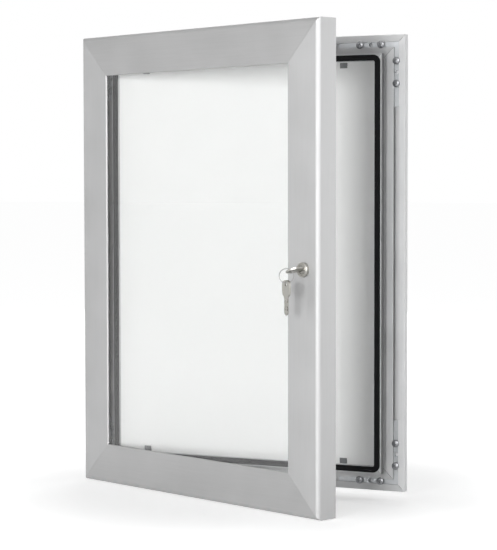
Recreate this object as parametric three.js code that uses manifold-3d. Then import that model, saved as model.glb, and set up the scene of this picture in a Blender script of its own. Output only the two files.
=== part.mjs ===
// Lockable notice board for one upright poster: a shallow wall frame with a sealed panel
// and a glazed door, hinged at the left and locked at the right.
// Millimetres, +Z up, the front faces -Y and the wall is the plane Y = 0.
// The origin is on the wall, midway between the two upper wall fixing holes.
// Sections are drawn by inset, the distance in from the closed door's outline,
// and by height, the distance from the wall.
import * as THREE from "three";
import { mergeVertices } from "three/addons/utils/BufferGeometryUtils.js";
import Module from "manifold-3d";

// Overall sizes
const posterWidth = 297;
const posterHeight = 420;
const posterCover = 4;
const railFace = 44;
const doorFront = 33;
const doorRear = 8.3;
const openDegrees = 22;

// Clearances
const fitGap = 0.3;
const mitreGap = 0.3;
const knuckleGap = 0.4;
const cutOverrun = 1;

// Door section
const skirtWall = 1.8;
const faceWall = 2;
const frontRounding = 5;
const rimChamfer = 0.8;
const glassThickness = 2;
const glassGroove = 2.4;
const glassWebInset = 28.8;
const glassWebWall = 1.2;
const glassLipWall = 1.2;
const glassLipReach = 7;
const ribWall = 1.3;
const ribFoot = 1.2;
const ribDepth = 3.6;
const outerRibReach = 5.7;
const innerRibInset = 22.3;
const innerRibReach = 3.8;

// Wall frame section
const flangeInset = 7;
const flangeHeight = 8;
const slotFromEdge = 10;
const slotMouth = 5.6;
const slotWidth = 10.8;
const slotLip = 1.4;
const slotFloor = 2.4;
const wallThickness = 2;
const headRear = 18;
const headFront = 25;
const headOverhang = 1.1;
const catchDepth = 5.3;
const panelGrooveWeb = 0.5;
const panelCover = 1.3;
const panelThickness = 3;

// Seal
const sealFromHeadEdge = 1.4;
const sealFromPanel = 0.8;
const sealHeight = 1.9;
const sealRounding = 8;
const sealBevel = 0.6;

// Corner brackets, their screws and the wall fixing holes
const bracketLeg = 76;
const bracketThickness = 3.6;
const screwNear = 27.5;
const screwFar = 51.5;
const screwShank = 4;
const screwHead = 8;
const screwHeadHeight = 2.6;
const wallHole = 5.2;
const wallHoleFromEdge = 91.5;

// Poster clips
const clipWidth = 8;
const clipFromSide = 30.5;
const clipReach = 2;
const clipEdgeGap = 0.5;
const clipFoot = 3.2;
const clipHeadGap = 0.7;
const clipMouth = 0.5;
const clipLip = 0.8;
const clipPeg = 2.2;
const clipPegDepth = 2.6;

// Hinge
const hingeEndGap = 7.5;
const hingeInset = 3.5;
const hingeHeight = 4.8;
const knuckleCount = 9;
const knuckleRadius = 3;
const knuckleBore = 1.75;
const pinRadius = 1.4;
const leafThickness = 1.1;
const frameLeafReach = 24;
const doorLeafReach = 25;
const doorLeafRoot = 7;
const hingeScrewCount = 4;
const hingeScrewShank = 3;
const hingeScrewHead = 5.5;
const hingeScrewHeadHeight = 1.5;
const frameScrewDepth = 4.5;
const doorScrewDepth = 1.2;
const frameScrewInset = 9.3;
const doorScrewHeight = 17;
const frameScrewFromEnd = 30;
const doorScrewFromEnd = 52.5;

// Door corner cleats
const cleatInset = 5.1;
const cleatWidth = 16.8;
const cleatThickness = 3;
const cleatLeg = 62;

// Lock
const lockFromHead = 6.7;
const lockHead = 15;
const lockHeadHeight = 3.2;
const lockHeadChamfer = 0.8;
const barrelDiameter = 11;
const barrelRear = 18.2;
const plugDiameter = 8;
const plugRear = 17.7;
const plugSetBack = 0.3;
const nutAcrossFlats = 14;
const nutThickness = 2.6;
const lockNotchHalf = 10;
const camThickness = 1.8;
const camReach = 11;
const camWidth = 6;
const camRounding = 2;
const bossSide = 3.4;
const camScrewShank = 1.6;
const camScrewLength = 2.6;
const camScrewHead = 5;
const camScrewHeadHeight = 1.5;
const keyTurnDegrees = 70;

// Keys and ring
const keyThickness = 1.8;
const bladeWidth = 6.2;
const bladeLength = 17;
const bladeTip = 2.6;
const biteDepth = 1.5;
const bitePitch = 2.8;
const biteDepthShares = [0.6, 1, 0.4, 0.8];
const neckLength = 1.2;
const neckWidth = 7.6;
const bowLength = 17;
const bowWidth = 15;
const bowRounding = 6;
const keyHole = 4.6;
const keyHoleFromEnd = 3.9;
const ringWire = 0.9;
const ringTurns = 2;
const ringRadius = 7.2;
const ringDroopDegrees = 50;
const ringAzimuthDegrees = 203;
const spareKeyDrop = 0.8;
const spareKeySkewDegrees = 30;

// Numbers of facets
const screwSteps = 10;
const roundSteps = 12;
const fineSteps = 20;
const cornerSteps = 5;
const ringSteps = 24;

// Sizes worked out from the above
const doorWidth = posterWidth - 2 * posterCover + 2 * railFace;
const doorHeight = posterHeight - 2 * posterCover + 2 * railFace;
const halfWidth = doorWidth / 2;
const halfHeight = doorHeight / 2;
const slotInset = flangeInset + slotFromEdge;
const originHeight = halfHeight - slotInset;
const plateRear = doorFront - faceWall;
const glassGrooveRear = plateRear - glassGroove;
const glassLipRear = glassGrooveRear - glassLipWall;
const glassStop = glassWebInset + glassWebWall;
const ribFront = plateRear - ribDepth;
const ribRear = ribFront - ribFoot;
const wallHoleHalfSpacing = halfWidth - flangeInset - wallHoleFromEdge;
const clipHalfSpacing = posterWidth / 2 - clipFromSide;
const headReach = railFace - posterCover - clipEdgeGap - clipFoot - clipHeadGap;
const wallInset = headReach - headOverhang - wallThickness;
const headInset = wallInset - catchDepth;
const panelGrooveInset = wallInset + panelGrooveWeb;
const sealInset = headInset + sealFromHeadEdge;
const sealWidth = headReach - sealFromPanel - sealInset;
const lockInset = headInset - lockFromHead;
const panelGrooveFront = headFront - panelCover;
const panelFront = panelGrooveFront - fitGap;
const panelRear = panelFront - panelThickness;
const panelGrooveRear = panelRear - fitGap;
const bracketRear = slotFloor + fitGap;
const clipPegHeight = posterHeight / 2 + clipEdgeGap + clipFoot / 2;
const hingeEndInset = flangeInset + screwFar + screwHead / 2 + hingeEndGap;
const hingeLength = doorHeight - 2 * hingeEndInset;
const frameScrewSpacing = (hingeLength - 2 * frameScrewFromEnd) / (hingeScrewCount - 1);
const doorScrewSpacing = (hingeLength - 2 * doorScrewFromEnd) / (hingeScrewCount - 1);
const frameLeafRear = flangeHeight + fitGap;
const frameLeafFront = frameLeafRear + leafThickness;
const doorLeafOuter = skirtWall + fitGap;
const doorLeafInner = doorLeafOuter + leafThickness;
const lockFront = doorFront + fitGap + lockHeadHeight;
const plugFront = lockFront - plugSetBack;
const camFront = plugRear - fitGap;
const camRear = camFront - camThickness;
const keyHoleReach = neckLength + bowLength - keyHoleFromEnd;
const degree = Math.PI / 180;

// Materials
function finish(name, color, roughness, metalness) {
  const material = new THREE.MeshStandardMaterial({ color, roughness, metalness });
  material.name = name;
  return material;
}
const anodised = finish("anodised", 0xc4c5c8, 0.45, 0.9);
const zinc = finish("zinc", 0xb9bcc0, 0.4, 0.9);
const nickel = finish("nickel", 0xa9a89c, 0.3, 0.9);
const steel = finish("steel", 0x9c9a97, 0.35, 0.9);
const board = finish("board", 0xf2f4f2, 0.6, 0);
const rubber = finish("rubber", 0x16181a, 0.8, 0);
const darkPlastic = finish("dark_plastic", 0x4a4c4e, 0.5, 0);
const clear = finish("clear", 0xe8f0ee, 0.1, 0);
clear.transparent = true;
clear.opacity = 0.25;

// Joining and cutting
const wasm = await Module();
wasm.setup();

function solidOf(geometry) {
  const bare = geometry.clone();
  bare.deleteAttribute("normal");
  bare.deleteAttribute("uv");
  const merged = mergeVertices(bare, 1e-4);
  const vertProperties = new Float32Array(merged.attributes.position.array);
  const triVerts = new Uint32Array(merged.index.array);
  return new wasm.Manifold(new wasm.Mesh({ numProp: 3, vertProperties, triVerts }));
}

function geometryOf(solid) {
  const mesh = solid.getMesh();
  const geometry = new THREE.BufferGeometry();
  const positions = new Float32Array(mesh.vertProperties);
  geometry.setAttribute("position", new THREE.BufferAttribute(positions, 3));
  geometry.setIndex(new THREE.BufferAttribute(new Uint32Array(mesh.triVerts), 1));
  geometry.computeVertexNormals();
  return geometry;
}

function joined(geometries) {
  const [first, ...others] = geometries.map(solidOf);
  return geometryOf(others.reduce((whole, piece) => whole.add(piece), first));
}

function cut(geometry, cutters) {
  const pieces = cutters.map(solidOf);
  return geometryOf(pieces.reduce((whole, piece) => whole.subtract(piece), solidOf(geometry)));
}

// Outlines and holes
function outline(points) {
  return new THREE.Shape(points.map(([x, y]) => new THREE.Vector2(x, y)));
}

function arcPoints(x, y, radius, fromTurn, toTurn, steps) {
  const points = [];
  for (let i = 0; i <= steps; i += 1) {
    const angle = 2 * Math.PI * (fromTurn + ((toTurn - fromTurn) * i) / steps);
    points.push([x + radius * Math.cos(angle), y + radius * Math.sin(angle)]);
  }
  return points;
}

function rectangle(width, height) {
  return [
    [-width / 2, -height / 2],
    [width / 2, -height / 2],
    [width / 2, height / 2],
    [-width / 2, height / 2],
  ];
}

function roundedRectangle(width, height, radius) {
  const x = width / 2 - radius;
  const y = height / 2 - radius;
  return [
    ...arcPoints(x, y, radius, 0, 0.25, cornerSteps),
    ...arcPoints(-x, y, radius, 0.25, 0.5, cornerSteps),
    ...arcPoints(-x, -y, radius, 0.5, 0.75, cornerSteps),
    ...arcPoints(x, -y, radius, 0.75, 1, cornerSteps),
  ];
}

function roundHole(x, y, radius, steps = roundSteps) {
  return outline(arcPoints(x, y, radius, 0, 1, steps).slice(1));
}

// A plate drawn in X and Z, from one height above the wall to another
function plate(shape, low, high) {
  const slab = new THREE.ExtrudeGeometry(shape, { depth: high - low, bevelEnabled: false });
  return slab.translate(0, 0, low).rotateX(Math.PI / 2);
}

// A bar along X from low to high; its section holds [inset, height] points, and inset runs along Z
const barAxes = new THREE.Matrix4().makeBasis(
  new THREE.Vector3(0, 0, 1),
  new THREE.Vector3(0, -1, 0),
  new THREE.Vector3(1, 0, 0),
);
function bar(section, low, high) {
  const shape = Array.isArray(section) ? outline(section) : section;
  const slab = new THREE.ExtrudeGeometry(shape, { depth: high - low, bevelEnabled: false });
  return slab.translate(0, 0, low).applyMatrix4(barAxes);
}

// A bar along X whose ends are cut at 45 degrees, halfLength being half its length at inset zero
function mitredBar(section, halfLength) {
  const unit = new THREE.ExtrudeGeometry(outline(section), { depth: 1, bevelEnabled: false });
  const position = unit.attributes.position;
  const endGap = mitreGap / Math.SQRT2;
  for (let i = 0; i < position.count; i += 1) {
    const end = position.getZ(i) > 0.5 ? 1 : -1;
    position.setZ(i, end * (halfLength - position.getX(i) - endGap));
  }
  return unit.applyMatrix4(barAxes);
}

// Turned pieces: a profile of [radius, distance along the axis] points
function turnedAlongZ(profile, steps = roundSteps) {
  const points = profile.map(([radius, along]) => new THREE.Vector2(radius, along));
  return new THREE.LatheGeometry(points, steps).rotateX(Math.PI / 2);
}

function turnedForward(profile, steps = roundSteps) {
  return turnedAlongZ(profile, steps).rotateX(Math.PI / 2);
}

function turnedAlongX(profile, steps = roundSteps) {
  return turnedAlongZ(profile, steps).rotateY(Math.PI / 2);
}

function rodProfile(radius, low, high) {
  return [[0, low], [radius, low], [radius, high], [0, high]];
}

function tubeProfile(bore, radius, low, high) {
  return [[bore, low], [radius, low], [radius, high], [bore, high], [bore, low]];
}

function panHeadProfile(shank, length, head, headHeight) {
  const crownShare = 0.45;
  const crownRadiusShare = 0.36;
  return [
    [0, -length],
    [shank / 2, -length],
    [shank / 2, 0],
    [head / 2, 0],
    [head / 2, headHeight * crownShare],
    [head * crownRadiusShare, headHeight],
    [0, headHeight],
  ];
}

function mesh(name, geometry, material) {
  const piece = new THREE.Mesh(geometry, material);
  piece.name = name;
  return piece;
}

// The sides and corners of a frame: pieces are drawn for the bottom side or the bottom left corner,
// with inset along +Z, and turned about Y into place
const sides = {
  bottom: { turn: 0, x: 0, z: -halfHeight, half: halfWidth },
  right: { turn: -Math.PI / 2, x: halfWidth, z: 0, half: halfHeight },
  top: { turn: Math.PI, x: 0, z: halfHeight, half: halfWidth },
  left: { turn: Math.PI / 2, x: -halfWidth, z: 0, half: halfHeight },
};
const corners = {
  bottom_left: { turn: 0, x: -halfWidth, z: -halfHeight },
  bottom_right: { turn: -Math.PI / 2, x: halfWidth, z: -halfHeight },
  top_right: { turn: Math.PI, x: halfWidth, z: halfHeight },
  top_left: { turn: Math.PI / 2, x: -halfWidth, z: halfHeight },
};

function placed({ turn, x, z }, ...pieces) {
  const group = new THREE.Group();
  group.rotation.y = turn;
  group.position.set(x, 0, z);
  group.add(...pieces);
  return group;
}

// Wall frame rails
function frameSection() {
  const mouth = slotMouth / 2;
  const half = slotWidth / 2;
  const lipRear = flangeHeight - slotLip;
  return [
    [flangeInset, 0],
    [flangeInset, flangeHeight],
    [slotInset - mouth, flangeHeight],
    [slotInset - mouth, lipRear],
    [slotInset - half, lipRear],
    [slotInset - half, slotFloor],
    [slotInset + half, slotFloor],
    [slotInset + half, lipRear],
    [slotInset + mouth, lipRear],
    [slotInset + mouth, flangeHeight],
    [wallInset, flangeHeight],
    [wallInset, headRear],
    [headInset, headRear],
    [headInset, headFront],
    [headReach, headFront],
    [headReach, panelGrooveFront],
    [panelGrooveInset, panelGrooveFront],
    [panelGrooveInset, panelGrooveRear],
    [headReach, panelGrooveRear],
    [headReach, headRear],
    [wallInset + wallThickness, headRear],
    [wallInset + wallThickness, 0],
  ];
}

function wallHoleCutters() {
  const hole = rodProfile(wallHole / 2, -cutOverrun, slotFloor + cutOverrun);
  return [-1, 1].map((side) => turnedForward(hole).translate(side * wallHoleHalfSpacing, 0, slotInset));
}

function hingeScrewPlaces(spacing) {
  const middle = (hingeScrewCount - 1) / 2;
  return Array.from({ length: hingeScrewCount }, (_, i) => (i - middle) * spacing);
}

function frameScrewCutters() {
  const floor = flangeHeight - frameScrewDepth - fitGap;
  const hole = rodProfile(hingeScrewShank / 2 + fitGap, floor, frameLeafFront + cutOverrun);
  const places = hingeScrewPlaces(frameScrewSpacing);
  return places.map((along) => turnedForward(hole).translate(along, 0, frameScrewInset));
}

function frameRails() {
  return Object.entries(sides).map(([side, place]) => {
    let geometry = mitredBar(frameSection(), place.half);
    if (side === "top" || side === "bottom") geometry = cut(geometry, wallHoleCutters());
    if (side === "left") geometry = cut(geometry, frameScrewCutters());
    return placed(place, mesh("frame_rail_" + side, geometry, anodised));
  });
}

function backPanel() {
  const inset = panelGrooveInset + fitGap;
  const shape = outline(rectangle(doorWidth - 2 * inset, doorHeight - 2 * inset));
  for (const { x, z } of Object.values(corners)) {
    const across = Math.sign(x) * clipHalfSpacing;
    const up = Math.sign(z) * clipPegHeight;
    shape.holes.push(roundHole(across, up, clipPeg / 2 + fitGap, screwSteps));
  }
  return mesh("back_panel", plate(shape, panelRear, panelFront), board);
}

function doorSeal() {
  const width = doorWidth - 2 * sealInset;
  const height = doorHeight - 2 * sealInset;
  const innerRounding = sealRounding - sealWidth;
  const shape = outline(roundedRectangle(width, height, sealRounding));
  const inner = roundedRectangle(width - 2 * sealWidth, height - 2 * sealWidth, innerRounding);
  shape.holes.push(outline(inner));
  const loop = new THREE.ExtrudeGeometry(shape, {
    depth: sealHeight - 2 * sealBevel,
    bevelSize: sealBevel,
    bevelThickness: sealBevel,
    bevelOffset: -sealBevel,
    bevelSegments: 1,
  });
  return mesh("door_seal", loop.translate(0, 0, headFront + sealBevel).rotateX(Math.PI / 2), rubber);
}

// Corner brackets in the slots, each with two screws on each leg and a spare threaded hole
function bracketGeometry() {
  const outer = slotInset - slotWidth / 2 + fitGap;
  const inner = slotInset + slotWidth / 2 - fitGap;
  const end = flangeInset + bracketLeg;
  const hole = screwShank / 2 + fitGap;
  const shape = outline([
    [outer, outer],
    [end, outer],
    [end, inner],
    [inner, inner],
    [inner, end],
    [outer, end],
  ]);
  for (const along of [screwNear, (screwNear + screwFar) / 2, screwFar]) {
    shape.holes.push(roundHole(flangeInset + along, slotInset, hole, screwSteps));
    shape.holes.push(roundHole(slotInset, flangeInset + along, hole, screwSteps));
  }
  return plate(shape, bracketRear, bracketRear + bracketThickness);
}

function cornerBrackets() {
  const screwLength = flangeHeight - slotFloor - fitGap;
  const profile = panHeadProfile(screwShank, screwLength, screwHead, screwHeadHeight);
  const spots = [
    [slotInset, flangeInset + screwFar],
    [slotInset, flangeInset + screwNear],
    [flangeInset + screwNear, slotInset],
    [flangeInset + screwFar, slotInset],
  ];
  return Object.entries(corners).map(([corner, place]) => {
    const screws = spots.map(([x, z], i) => {
      const name = "bracket_screw_" + corner + "_" + (i + 1);
      const screw = mesh(name, turnedForward(profile, screwSteps), zinc);
      screw.position.set(x, -flangeHeight, z);
      return screw;
    });
    return placed(place, mesh("frame_bracket_" + corner, bracketGeometry(), zinc), ...screws);
  });
}

// Poster clips: a lip over the poster's edge, a foot on the panel and a peg through it
function posterClips() {
  const edge = posterHeight / 2;
  const foot = edge + clipEdgeGap;
  const lipRear = panelFront + clipMouth;
  const lipFront = lipRear + clipLip;
  const section = [
    [edge - clipReach, lipRear],
    [edge - clipReach, lipFront],
    [foot + clipFoot, lipFront],
    [foot + clipFoot, panelFront],
    [foot, panelFront],
    [foot, lipRear],
  ];
  const peg = rodProfile(clipPeg / 2, panelFront - clipPegDepth, lipRear);
  const body = bar(section, -clipWidth / 2, clipWidth / 2);
  const geometry = joined([body, turnedForward(peg, screwSteps).translate(0, 0, clipPegHeight)]);
  return Object.entries(corners).map(([corner, { x, z }]) => {
    const clip = mesh("poster_clip_" + corner, geometry, darkPlastic);
    clip.rotation.y = z > 0 ? 0 : Math.PI;
    clip.position.x = Math.sign(x) * clipHalfSpacing;
    return clip;
  });
}

// Hinge: knuckles alternate between the frame's leaf and the door's leaf
function knuckleSpan(i) {
  const pitch = hingeLength / knuckleCount;
  const low = i * pitch - hingeLength / 2;
  return [low + knuckleGap / 2, low + pitch - knuckleGap / 2];
}

function knucklesAndTabs(first, tabSection) {
  const pieces = [];
  for (let i = first; i < knuckleCount; i += 2) {
    const [low, high] = knuckleSpan(i);
    const tube = turnedAlongX(tubeProfile(knuckleBore, knuckleRadius, low, high));
    pieces.push(tube.translate(0, -hingeHeight, hingeInset), bar(tabSection, low, high));
  }
  return pieces;
}

function frameLeaf() {
  const outer = hingeInset + knuckleRadius - leafThickness;
  const inner = outer + leafThickness;
  const flat = [
    [outer, frameLeafRear],
    [frameLeafReach, frameLeafRear],
    [frameLeafReach, frameLeafFront],
    [outer, frameLeafFront],
  ];
  const tab = [
    [outer, hingeHeight],
    [inner, hingeHeight],
    [inner, frameLeafFront],
    [outer, frameLeafFront],
  ];
  const leaf = joined([bar(flat, -hingeLength / 2, hingeLength / 2), ...knucklesAndTabs(0, tab)]);
  return mesh("hinge_leaf_frame", cut(leaf, frameScrewCutters()), steel);
}

function doorScrewCutters() {
  const low = skirtWall - doorScrewDepth - fitGap;
  const hole = rodProfile(hingeScrewShank / 2 + fitGap, low, doorLeafInner + cutOverrun);
  const places = hingeScrewPlaces(doorScrewSpacing);
  return places.map((along) => turnedAlongZ(hole).translate(along, -doorScrewHeight, 0));
}

function doorLeaf() {
  const section = (low, high) => [
    [doorLeafOuter, low],
    [doorLeafInner, low],
    [doorLeafInner, high],
    [doorLeafOuter, high],
  ];
  const flat = bar(section(doorRear, doorLeafReach), -hingeLength / 2, hingeLength / 2);
  const leaf = joined([flat, ...knucklesAndTabs(1, section(doorLeafRoot, doorLeafReach))]);
  return mesh("hinge_leaf_door", cut(leaf, doorScrewCutters()), steel);
}

function hingePin() {
  const pin = turnedAlongX(rodProfile(pinRadius, -hingeLength / 2, hingeLength / 2));
  return mesh("hinge_pin", pin.translate(0, -hingeHeight, hingeInset), steel);
}

function hingeScrews(name, length, spacing, turn, put) {
  const profile = panHeadProfile(hingeScrewShank, length, hingeScrewHead, hingeScrewHeadHeight);
  return hingeScrewPlaces(spacing).map((along, i) => {
    const screw = mesh(name + "_" + (i + 1), turn(profile, screwSteps), zinc);
    put(screw.position, along);
    return screw;
  });
}

function frameHinge() {
  const length = frameLeafFront - flangeHeight + frameScrewDepth;
  const screws = hingeScrews("hinge_screw_frame", length, frameScrewSpacing, turnedForward, (spot, along) =>
    spot.set(along, -frameLeafFront, frameScrewInset),
  );
  return placed(sides.left, frameLeaf(), hingePin(), ...screws);
}

function doorHinge() {
  const under = doorLeafInner + fitGap;
  const length = under - skirtWall + doorScrewDepth;
  const screws = hingeScrews("hinge_screw_door", length, doorScrewSpacing, turnedAlongZ, (spot, along) =>
    spot.set(along, -doorScrewHeight, under),
  );
  return placed(sides.left, doorLeaf(), ...screws);
}

// Door rails: a rounded outer edge, a skirt, a groove for the glazing and two ribs for the cleats
function doorSection() {
  const innerRibWall = innerRibInset + ribWall;
  return [
    [0, doorRear],
    ...arcPoints(frontRounding, doorFront - frontRounding, frontRounding, 0.5, 0.25, cornerSteps),
    [railFace - rimChamfer, doorFront],
    [railFace, doorFront - rimChamfer],
    [railFace, plateRear],
    [glassStop, plateRear],
    [glassStop, glassGrooveRear],
    [glassStop + glassLipReach, glassGrooveRear],
    [glassStop + glassLipReach, glassLipRear],
    [glassWebInset, glassLipRear],
    [glassWebInset, plateRear],
    [innerRibWall, plateRear],
    [innerRibWall, ribRear],
    [innerRibInset - innerRibReach, ribRear],
    [innerRibInset - innerRibReach, ribFront],
    [innerRibInset, ribFront],
    [innerRibInset, plateRear],
    [skirtWall, plateRear],
    [skirtWall, ribFront],
    [skirtWall + outerRibReach, ribFront],
    [skirtWall + outerRibReach, ribRear],
    [skirtWall, ribRear],
    [skirtWall, doorRear],
  ];
}

function lockStileCutters() {
  const hole = rodProfile(barrelDiameter / 2 + fitGap, plateRear - cutOverrun, doorFront + cutOverrun);
  const low = innerRibInset - innerRibReach - cutOverrun;
  const high = innerRibInset + ribWall + cutOverrun;
  const notch = [
    [low, ribRear - cutOverrun],
    [high, ribRear - cutOverrun],
    [high, plateRear],
    [low, plateRear],
  ];
  return [
    turnedForward(hole, fineSteps).translate(0, 0, lockInset),
    bar(notch, -lockNotchHalf, lockNotchHalf),
  ];
}

const doorRailNames = {
  bottom: "door_rail_bottom",
  right: "lock_stile",
  top: "door_rail_top",
  left: "hinge_stile",
};
function doorRails() {
  return Object.entries(sides).map(([side, place]) => {
    let geometry = mitredBar(doorSection(), place.half);
    if (side === "right") geometry = cut(geometry, lockStileCutters());
    if (side === "left") geometry = cut(geometry, doorScrewCutters());
    return placed(place, mesh(doorRailNames[side], geometry, anodised));
  });
}

function doorCleats() {
  const inner = cleatInset + cleatWidth;
  const shape = outline([
    [cleatInset, cleatInset],
    [cleatLeg, cleatInset],
    [cleatLeg, inner],
    [inner, inner],
    [inner, cleatLeg],
    [cleatInset, cleatLeg],
  ]);
  const front = plateRear - fitGap;
  const geometry = plate(shape, front - cleatThickness, front);
  return Object.entries(corners).map(([corner, place]) =>
    placed(place, mesh("door_cleat_" + corner, geometry, zinc)),
  );
}

function glazing() {
  const inset = glassStop + fitGap;
  const rear = glassGrooveRear + (glassGroove - glassThickness) / 2;
  const shape = outline(rectangle(doorWidth - 2 * inset, doorHeight - 2 * inset));
  return mesh("glazing", plate(shape, rear, rear + glassThickness), clear);
}

// Lock: the housing and its nut stay with the door
function lockHousing() {
  const bore = plugDiameter / 2 + fitGap;
  const barrel = barrelDiameter / 2;
  const head = lockHead / 2;
  const profile = [
    [bore, barrelRear],
    [barrel, barrelRear],
    [barrel, doorFront + fitGap],
    [head, doorFront + fitGap],
    [head, lockFront - lockHeadChamfer],
    [head - lockHeadChamfer, lockFront],
    [bore, lockFront],
    [bore, barrelRear],
  ];
  return mesh("lock_housing", turnedForward(profile, fineSteps), nickel);
}

function lockNut() {
  const front = plateRear - fitGap;
  const radius = nutAcrossFlats / Math.sqrt(3);
  const shape = outline(arcPoints(0, 0, radius, 1 / 12, 13 / 12, 6).slice(1));
  shape.holes.push(roundHole(0, 0, barrelDiameter / 2 + fitGap, fineSteps));
  return mesh("lock_nut", plate(shape, front - nutThickness, front), zinc);
}

// The plug, cam and key are drawn locked: the keyway upright and the cam towards the hinge
function lockPlug() {
  const body = turnedForward(rodProfile(plugDiameter / 2, plugRear, plugFront), fineSteps);
  const bossRear = camRear + fitGap;
  const boss = plate(outline(rectangle(bossSide, bossSide)), bossRear, plugRear + cutOverrun);
  const keyway = outline(rectangle(keyThickness + 2 * fitGap, bladeWidth + 2 * fitGap));
  const keywayRear = plugFront - bladeLength - fitGap;
  const screwHoleEnd = camRear + camScrewLength;
  const screwHole = rodProfile(camScrewShank / 2 + fitGap, bossRear - cutOverrun, screwHoleEnd);
  const geometry = cut(joined([body, boss]), [
    plate(keyway, keywayRear, plugFront + cutOverrun),
    turnedForward(screwHole, screwSteps),
  ]);
  return mesh("lock_plug", geometry, nickel);
}

function lockCam() {
  const length = camReach + camWidth / 2;
  const points = roundedRectangle(length, camWidth, camRounding);
  const shape = outline(points.map(([x, z]) => [x - (camReach - camWidth / 2) / 2, z]));
  shape.holes.push(outline(rectangle(bossSide + 2 * fitGap, bossSide + 2 * fitGap)));
  return mesh("lock_cam", plate(shape, camRear, camFront), steel);
}

function camScrew() {
  const profile = panHeadProfile(camScrewShank, camScrewLength, camScrewHead, camScrewHeadHeight);
  const geometry = turnedForward(profile, screwSteps).rotateX(Math.PI);
  const screw = mesh("cam_screw", geometry, zinc);
  screw.position.y = fitGap - camRear;
  return screw;
}

// A key drawn with its width along Z and its bow towards the front, its shoulder at height zero
function keyGeometry() {
  const bow = outline(roundedRectangle(bowWidth, bowLength, bowRounding));
  bow.holes.push(roundHole(0, bowLength / 2 - keyHoleFromEnd, keyHole / 2));
  const side = bladeWidth / 2;
  const nose = side / 3;
  const blade = [
    [side, neckLength],
    [-side, neckLength],
    [-side, bladeTip - bladeLength],
    [-nose, -bladeLength],
    [nose, -bladeLength],
    [side, bladeTip - bladeLength],
  ];
  biteDepthShares.forEach((share, i) => {
    const root = bladeTip - bladeLength + (i + 1) * bitePitch;
    blade.push([side, root - bitePitch / 3]);
    blade.push([side - share * biteDepth, root]);
    blade.push([side, root + bitePitch / 3]);
  });
  const neck = rectangle(neckWidth, 2 * (neckLength + bowRounding)).map(([x, y]) => [x, Math.max(y, 0)]);
  const low = -keyThickness / 2;
  const high = keyThickness / 2;
  return joined([
    bar(bow, low, high).translate(0, -neckLength - bowLength / 2, 0),
    bar(neck, low, high),
    bar(blade, low, high),
  ]);
}

function lockTurning() {
  const key = mesh("key", keyGeometry(), nickel);
  key.position.y = -plugFront - fitGap;
  const group = new THREE.Group();
  group.rotation.y = keyTurnDegrees * degree;
  group.add(lockPlug(), lockCam(), camScrew(), key);
  return group;
}

function lock() {
  const group = new THREE.Group();
  group.position.x = halfWidth - lockInset;
  group.add(lockHousing(), lockNut(), lockTurning());
  return group;
}

// The door, drawn closed and swung about the hinge axis
const hingeAxis = new THREE.Vector3(hingeInset - halfWidth, -hingeHeight, 0);

function swung(...pieces) {
  const closed = new THREE.Group();
  closed.position.copy(hingeAxis).negate();
  closed.add(...pieces);
  const group = new THREE.Group();
  group.position.copy(hingeAxis);
  group.rotation.z = -openDegrees * degree;
  group.add(closed);
  return group;
}

// The ring passes through the hole of the key's bow and hangs to one side, with the spare key below it
function ringAndSpareKey() {
  const hole = new THREE.Vector3(halfWidth - lockInset, -plugFront - fitGap - keyHoleReach, 0);
  hole.sub(hingeAxis).applyAxisAngle(new THREE.Vector3(0, 0, 1), -openDegrees * degree).add(hingeAxis);
  const across = ringRadius * Math.cos(ringDroopDegrees * degree);
  const down = ringRadius * Math.sin(ringDroopDegrees * degree);
  const half = (ringTurns * ringWire) / 2;
  const profile = [
    [ringRadius - ringWire / 2, -half],
    [ringRadius + ringWire / 2, -half],
    [ringRadius + ringWire / 2, half],
    [ringRadius - ringWire / 2, half],
    [ringRadius - ringWire / 2, -half],
  ];
  const ring = mesh("key_ring", turnedForward(profile, ringSteps), steel);
  ring.position.set(across, 0, -down);
  const upright = keyGeometry().rotateX(-Math.PI / 2).translate(0, 0, -keyHoleReach);
  const spare = mesh("spare_key", upright, nickel);
  spare.position.set(across, 0, -down - ringRadius - spareKeyDrop);
  spare.rotation.z = spareKeySkewDegrees * degree;
  const group = new THREE.Group();
  group.position.copy(hole);
  group.rotation.z = ringAzimuthDegrees * degree;
  group.add(ring, spare);
  return group;
}

const noticeBoard = new THREE.Group();
noticeBoard.name = "lockable_notice_board";
noticeBoard.position.z = -originHeight;
noticeBoard.add(
  ...frameRails(),
  backPanel(),
  doorSeal(),
  ...cornerBrackets(),
  ...posterClips(),
  frameHinge(),
  swung(...doorRails(), ...doorCleats(), glazing(), doorHinge(), lock()),
  ringAndSpareKey(),
);

export default noticeBoard;
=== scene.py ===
# Looks of the lockable notice board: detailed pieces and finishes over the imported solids.
# Metres, +Z up, the front faces -Y and the wall is the plane Y = 0. Sizes are named in millimetres.
# Sections are drawn by inset, the distance in from the closed door's outline,
# and by height, the distance from the wall.
import math

import bmesh
import bpy
from mathutils import Matrix, Vector


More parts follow.
